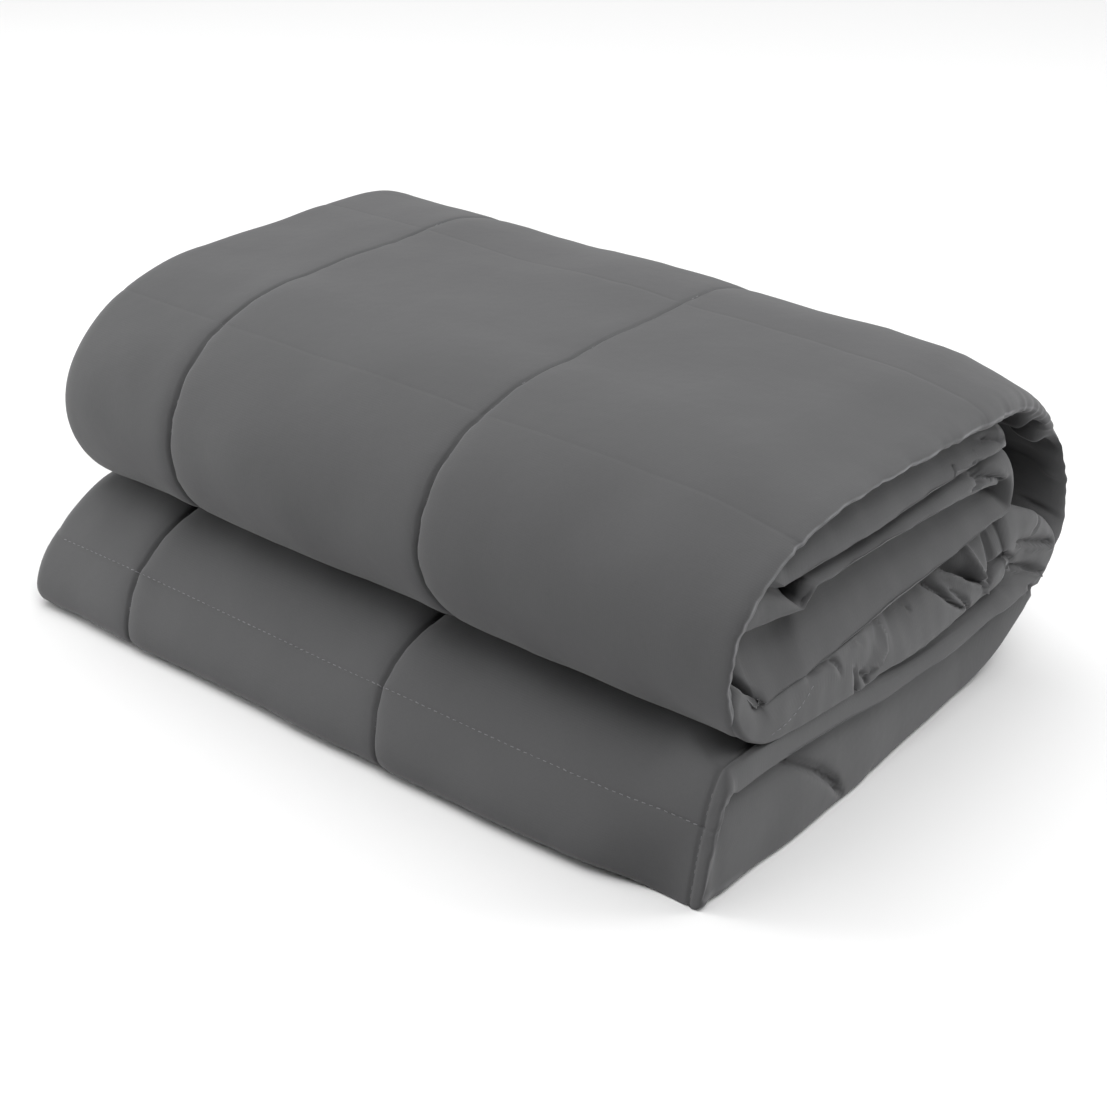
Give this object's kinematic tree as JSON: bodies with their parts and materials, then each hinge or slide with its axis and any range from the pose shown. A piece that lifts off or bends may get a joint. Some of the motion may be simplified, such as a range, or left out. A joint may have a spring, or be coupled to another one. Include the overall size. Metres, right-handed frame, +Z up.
{
  "type": "weighted blanket",
  "caption": "Quilted weighted blanket in dark grey cloth, folded into a thick stack of two rounded bundles that lies flat on a surface.",
  "frame": {"origin": "on the floor, under the middle of the folded stack's bounding box", "axes": "+X along the long front to the open layered end, +Y from the front folds to the back wrap, +Z up"},
  "size_m": [0.3851, 0.287, 0.1485],
  "materials": {
    "cloth": "matt, tightly woven dark grey cotton or microfibre"
  },
  "bodies": {
    "root": {"blanket": "cloth"}
  },
  "joints": []
}
